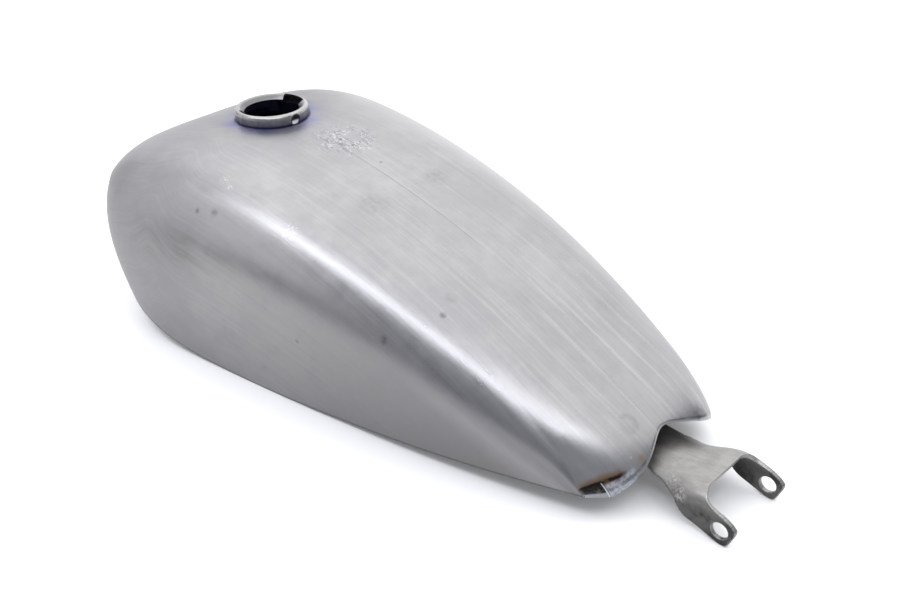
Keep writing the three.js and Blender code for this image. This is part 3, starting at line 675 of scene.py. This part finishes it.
def outlet_bung():
    """A turned boss, square to the floor. Its bore is threaded: the ridge's height is a triangle wave
    of the height over the pitch less the share of a turn, fading out at both ends."""
    angle = np.linspace(0, 2 * np.pi, 120, endpoint=False)[:, None]
    low, high = -OUTLET_BELOW, OUTLET_ABOVE
    outside = np.array([(OUTLET_RADIUS - OUTLET_CHAMFER, low), (OUTLET_RADIUS, low + OUTLET_CHAMFER),
                        (OUTLET_RADIUS, high)])
    thread = np.linspace(high, low, 89)
    wave = 2 * np.abs((thread / THREAD_PITCH - angle / (2 * np.pi)) % 1 - 0.5)
    fade = np.clip(np.minimum(high - thread, thread - low) / 1.4, 0, 1)
    radius = np.concatenate([outside[:, 0] + 0 * angle, OUTLET_BORE - THREAD_DEPTH * wave * fade], 1)
    height = np.concatenate([outside[:, 1], thread]) + 0 * angle
    x, w = OUTLET_X + np.array([0, 10, -10]), np.full(3, 0.7)
    floor_z = pan(x, w)[:, 2]
    slope = math.atan((floor_z[1] - floor_z[2]) / 20)
    y = mix(tunnel_foot(x)[0], skin(x, np.ones(3))[0, 1], OUTLET_ACROSS)
    forward, up = (math.cos(slope), 0, math.sin(slope)), (-math.sin(slope), 0, math.cos(slope))
    points = np.stack([radius * np.cos(angle), radius * np.sin(angle), height], -1)
    points = points @ np.array([forward, (0, 1, 0), up])
    points = (points + (OUTLET_X, y, floor_z[0])).reshape(-1, 3)
    rows, columns = radius.shape
    uv = np.stack([(angle * OUTLET_RADIUS).repeat(columns, 1), height], -1).reshape(-1, 2)
    floats = {"dimple": np.zeros(rows * columns), "lip": np.zeros(rows * columns),
              "lift": np.full(rows * columns, 0.0064)}
    make_object("outlet_boss", points, turned_faces(rows, columns), "neck_steel", uv,
                ["outlet_bung"], floats, 30)


# ---- rear yoke ----

def web_heights(x):
    """Height of the web's upper face on the centre line: it sinks from the ears to the tank, then
    climbs against the tunnel's underside."""
    open_height = mix(23.0, 28.5, smooth((WEB_OPEN - x) / (WEB_OPEN - CROTCH_X)))
    w = np.linspace(0, TUNNEL_SHARE, 300)
    stations = np.linspace(WEB_OPEN, YOKE_END, 39)
    grid_x, grid_w = np.meshgrid(stations, w, indexing="ij")
    below = inset(pan, grid_x, grid_w, GAUGE)
    nearest = np.argmin(np.abs(below[..., 1] - WEB_HALF - 1), axis=1)
    under = np.interp(x, stations, below[np.arange(39), nearest, 2]) - 0.6
    covered = mix(open_height, under, smooth((x - WEB_OPEN) / 36))
    return np.where(x <= WEB_OPEN, open_height, covered)


def yoke_point(x, a, depth, heights):
    """Bent plate: a is the length across the sheet from the centre line. Its slope grows evenly at
    the tank and, towards the ears, folds to upright over a short arc by the square of the length."""
    curve = mix(0.006, 0.029, smooth((WEB_OPEN - x) / 48))
    bent = smooth((-20 - x) / 32.5)
    reach = np.abs(a)
    along = ((np.arange(90) + 0.5) / 90) * reach[..., None]

    def slope(length, curve, bent):
        folded = 0.5 * np.pi * np.clip((length - 13) / 20, 0, 1) ** 2
        return np.minimum(0.5 * np.pi, mix(curve * length, folded, bent))

    lean = slope(along, curve[..., None], bent[..., None])
    y = np.cos(lean).mean(-1) * reach
    z = heights - np.sin(lean).mean(-1) * reach
    end = slope(reach, curve, bent)
    return np.stack([x, np.sign(a) * (y - depth * np.sin(end)), z - depth * np.cos(end)], -1)


def bezier(*corners, steps=14):
    """Points of a smooth curve through its first and last corners, by repeated mixing."""
    u = np.linspace(0, 1, steps)
    return np.stack([curve_at([c[k] for c in corners], u) for k in (0, 1)], -1)


def yoke_outline():
    """Side outline of the left ear and the web's flare as (x, z), from the crotch round the ear to
    the web's edge at the tank, unrolled onto the sheet as (x, length across)."""
    side = np.concatenate([
        bezier((CROTCH_X, 28.35), (-55, 27.6), (-56, 24.8), (-61, 22.6)),
        bezier((-61, 22.6), (-69, 19.6), steps=8),
        bezier((-69, 19.6), (-73, 18), (-76, 16.5), (-77.6, 14.2)),
        bezier((-77.6, 14.2), (-78.1, 13.4), (-78.1, 12), (-77.4, 10)),
        bezier((-77.4, 10), (-75, 4), steps=8),
        bezier((-75, 4), (-74, 1.2), (-72.4, 0), (-70, 0)),
        bezier((-70, 0), (-67, 0), (-56, 3.8), (-49, 5.6)),
        bezier((-49, 5.6), (-43, 7.2), (-41, 11), (-37, 14.8)),
        bezier((-37, 14.8), (-33, 17.8), (-24, 19.2), (-12, 20.4)),
    ])
    lengths = np.linspace(0, 60, 241)
    x = side[:, :1] + 0 * lengths
    z = yoke_point(x, lengths + 0 * x, 0, web_heights(x))[..., 2]
    across = np.array([np.interp(-wanted, -row, lengths) for wanted, row in zip(side[:, 1], z)])
    limit = mix(WEB_HALF, 58, smooth((-12 - side[:, 0]) / 24))
    unrolled = np.stack([side[:, 0], np.minimum(across, limit)], -1)
    front = [(-11, WEB_HALF), (YOKE_END, WEB_HALF), (YOKE_END, -9)]
    return np.concatenate([[(CROTCH_X, -9)], unrolled, front])


def inside_by(points, outline):
    """Distance inside a closed outline, negative outside: nearest point of any side, with the sign
    from how many sides a line from the point crosses."""
    a = outline
    b = np.roll(outline, -1, axis=0)
    side = b - a
    away = points[..., None, :] - a
    share = np.clip((away * side).sum(-1) / np.maximum((side * side).sum(-1), 1e-9), 0, 1)
    nearest = np.linalg.norm(away - share[..., None] * side, axis=-1).min(-1)
    spans = (a[:, 1] > points[..., 1:2]) != (b[:, 1] > points[..., 1:2])
    rise = np.where(np.abs(side[:, 1]) < 1e-9, 1e-9, side[:, 1])
    meets = a[:, 0] + (points[..., 1:2] - a[:, 1]) / rise * side[:, 0]
    odd = (spans & (points[..., :1] < meets)).sum(-1) % 2 == 1
    return np.where(odd, nearest, -nearest)


def rear_yoke():
    """The yoke is cut from the bent sheet: cells of a fine grid whose middle lies inside the outline
    and outside the bolt hole are kept, rim points move onto the outline along the slope of the
    distance to it, and the rim bulges a little through the plate's thickness."""
    outline = yoke_outline()
    ear_lengths = np.linspace(0, 60, 241)
    ear_x = np.full(241, EAR_HOLE[0])
    ear_z = yoke_point(ear_x, ear_lengths, 0, web_heights(ear_x))[..., 2]
    hole_at = np.array([EAR_HOLE[0], np.interp(-EAR_HOLE[1], -ear_z, ear_lengths)])

    def room(points):
        mirrored = np.stack([points[..., 0], np.abs(points[..., 1])], -1)
        hole = np.linalg.norm(mirrored - hole_at, axis=-1) - EAR_HOLE_RADIUS
        return np.minimum(inside_by(mirrored, outline), hole) - 0.35

    x, a = np.meshgrid(np.linspace(-79, 88.8, 234), np.linspace(-58, 58, 165), indexing="ij")
    flat = np.stack([x, a], -1)
    space = room(flat)
    middle = (space[:-1, :-1] + space[1:, :-1] + space[:-1, 1:] + space[1:, 1:]) / 4
    keep = middle > 0
    touched = np.zeros(x.shape, int)
    for di in (0, 1):
        for dj in (0, 1):
            touched[di:di + keep.shape[0], dj:dj + keep.shape[1]] += keep
    rim = (touched > 0) & (touched < 4)
    step = 0.05
    edge = flat[rim]
    for turn in range(3):
        slope = np.stack([room(edge + (step, 0)) - room(edge - (step, 0)),
                          room(edge + (0, step)) - room(edge - (0, step))], -1) / (2 * step)
        slope /= np.maximum(np.linalg.norm(slope, axis=-1, keepdims=True), 1e-6)
        edge = edge - slope * room(edge)[:, None]
    flat[rim] = edge
    outward = np.zeros(flat.shape)
    outward[rim] = -slope
    layers = []
    for share, bulge in ((0, 0), (0.08, 0.24), (0.28, 0.35), (0.72, 0.35), (0.92, 0.24), (1, 0)):
        moved = flat + outward * bulge
        layers.append(yoke_point(moved[..., 0], moved[..., 1], YOKE_GAUGE * share,
                                 web_heights(moved[..., 0])))
    points = np.stack(layers).reshape(-1, 3)
    uv = np.tile(flat.reshape(-1, 2), (6, 1))
    ring = np.where(np.isclose(space, 0, atol=1.5), 1.0, 0.0)
    floats = {"rim": np.tile(np.clip(1 - space / 2.5, 0, 1).ravel() * (ring.ravel() + 1) / 2, 6),
              "fold": np.tile(np.abs(flat[..., 1]).ravel() / 1000, 6)}
    make_object("rear_yoke_plate", points, sheet_faces(keep, 6), "mount_steel", uv,
                ["rear_yoke"], floats, 50)


# ---- pieces ----

body_sheets()
filler_neck()
outlet_bung()
rear_yoke()
slots = {row["node"]: row["material_slot"] for row in frame["record"]["subparts"]}
for name, node in frame["nodes"].items():
    node.data.materials.clear()
    node.data.materials.append(finishes[slots[name]])

# ---- floor, lights, camera ----

def floor_and_lights():
    """A white paper floor, a dim room, a wide soft light on the right that the top mirrors, two weak
    ones in front, and two on the left whose reflections run along the shoulder to the tail."""
    mesh = bpy.data.meshes.new("floor")
    mesh.from_pydata([(-9, -9, 0), (9, -9, 0), (9, 9, 0), (-9, 9, 0)], [], [(0, 1, 2, 3)])
    floor = bpy.data.objects.new("floor", mesh)
    bpy.context.scene.collection.objects.link(floor)
    paper = Finish("white_paper", Base_Color=(0.8, 0.8, 0.8, 1), Roughness=0.9, Specular_IOR_Level=0.1,
                   Emission_Color=(1, 1, 1, 1), Emission_Strength=0.06)
    mesh.materials.append(paper.material)
    world = bpy.data.worlds.new("studio")
    world.use_nodes = True
    room = world.node_tree.nodes["Background"].inputs
    room["Color"].default_value = (0.9, 0.93, 1.0, 1)
    room["Strength"].default_value = 0.66
    bpy.context.scene.world = world
    for name, place, aim, width, height, radiance, colour in (
        ("overhead_softbox", (0.5, -1.25, 2.3), (0.5, -1.25, 0), 4.6, 3.7, 1.5, (1.0, 0.995, 0.985)),
        ("right_panel", (0.9, -3.1, 1.1), (0.9, 0, 1.1), 5.0, 2.2, 1.3, (1.0, 0.99, 0.98)),
        ("front_panel", (3.3, -1.1, 1.6), (0, 0, 0.1), 2.6, 2.4, 0.92, (1.0, 0.98, 0.99)),
        ("front_left_panel", (2.5, 2.2, 1.5), (0, 0.1, 0.1), 3.6, 2.6, 0.95, (1.0, 0.98, 0.99)),
        ("shoulder_strip", (0.25, 1.02, 2.17), (0.25, 0.4, 0.1), 2.6, 0.42, 6.6, (0.93, 0.95, 1.0)),
        ("tail_panel", (-0.98, 0.45, 1.85), (-0.16, 0.05, 0.05), 0.7, 0.9, 2.8, (0.93, 0.95, 1.0)),
    ):
        data = bpy.data.lights.new(name, "AREA")
        data.shape = "RECTANGLE"
        data.size, data.size_y = width, height
        data.energy = radiance * math.pi * width * height
        data.color = colour
        light = bpy.data.objects.new(name, data)
        light.location = place
        light.visible_camera = False
        out_of = (Vector(place) - Vector(aim)).normalized()
        level = Vector((1, 0, 0)) - out_of * out_of.x
        turn = Matrix((level.normalized(), out_of.cross(level.normalized()), out_of)).transposed()
        light.rotation_euler = turn.to_euler()
        bpy.context.scene.collection.objects.link(light)


floor_and_lights()

camera_data = bpy.data.cameras.new("camera")
camera_data.sensor_width = 36
camera_data.lens = 1158.1 / 900 * 36
camera = bpy.data.objects.new("camera", camera_data)
yaw, pitch = math.radians(-47.31), math.radians(31.57)
look = Vector((math.cos(yaw) * math.cos(pitch), math.sin(yaw) * math.cos(pitch), -math.sin(pitch)))
target = Vector((0.1710 + TAIL_DATUM / 1000, -0.0049, 0.0491))
camera.location = target - look * 0.7965
camera.rotation_euler = look.to_track_quat("-Z", "Y").to_euler()
bpy.context.scene.collection.objects.link(camera)
bpy.context.scene.camera = camera
bpy.context.scene.view_settings.view_transform = "Standard"
